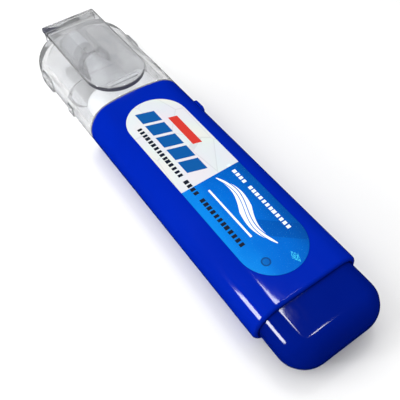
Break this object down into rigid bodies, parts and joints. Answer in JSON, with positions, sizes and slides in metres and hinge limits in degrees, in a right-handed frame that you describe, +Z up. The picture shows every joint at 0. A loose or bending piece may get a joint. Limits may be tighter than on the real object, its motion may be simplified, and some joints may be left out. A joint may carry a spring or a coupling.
{
  "type": "correction fluid pen",
  "caption": "Flat squeezable correction fluid pen with a needle point, sprung valve, stirring ball and a clear pull-off cap with a pocket clip.",
  "frame": {"origin": "centre of the whole pen's footprint, on the surface it lies on", "axes": "+Y along the pen towards the cap's tip, +Z up out of the labelled face and the clip, +X across the flat barrel, to the side with the raised nib"},
  "size_m": [0.0278, 0.115, 0.0144],
  "materials": {
    "barrel_blue": "satin gloss",
    "tail_blue": "gloss",
    "bottle_milky": "milky satin",
    "front_film": "metallic print film, silver half and blue half",
    "back_film": "satin film",
    "holder_white": "satin",
    "packing_black": "matte",
    "tip_holder_white": "satin",
    "pipe_steel": "polished",
    "receiver_white": "natural",
    "spring_steel": "bright wire",
    "rod_steel": "polished",
    "collar_steel": "turned",
    "ball_steel": "polished",
    "cap_clear": "clear, polished",
    "inner_cap_soft": "translucent soft elastomer"
  },
  "bodies": {
    "barrel": {"barrel_sleeve": "barrel_blue", "tail_plug": "tail_blue", "inner_bottle": "bottle_milky", "front_label": "front_film", "back_label": "back_film", "front_holder": "holder_white", "holder_packing": "packing_black", "tip_holder": "tip_holder_white", "tip_pipe": "pipe_steel", "spring_receiver": "receiver_white", "valve_spring": "spring_steel"},
    "valve": {"valve_rod": "rod_steel", "rod_collar": "collar_steel"},
    "ball": {"stirring_ball": "ball_steel"},
    "cap": {"cap_shell": "cap_clear", "inner_cap": "inner_cap_soft"}
  },
  "joints": [
    {"name": "cap_slide", "type": "slide", "parent": "barrel", "child": "cap", "axis": [0, 1, 0], "range_m": [0, 0.05]},
    {"name": "valve_slide", "type": "slide", "parent": "barrel", "child": "valve", "axis": [0, -1, 0], "range_m": [0, 0.0005], "stiffness_N_per_m": 300, "springref_m": -0.0008, "deforming": ["valve_spring"]},
    {"name": "ball_slide", "type": "slide", "parent": "barrel", "child": "ball", "axis": [0, 1, 0], "range_m": [-0.02, 0.022]}
  ]
}
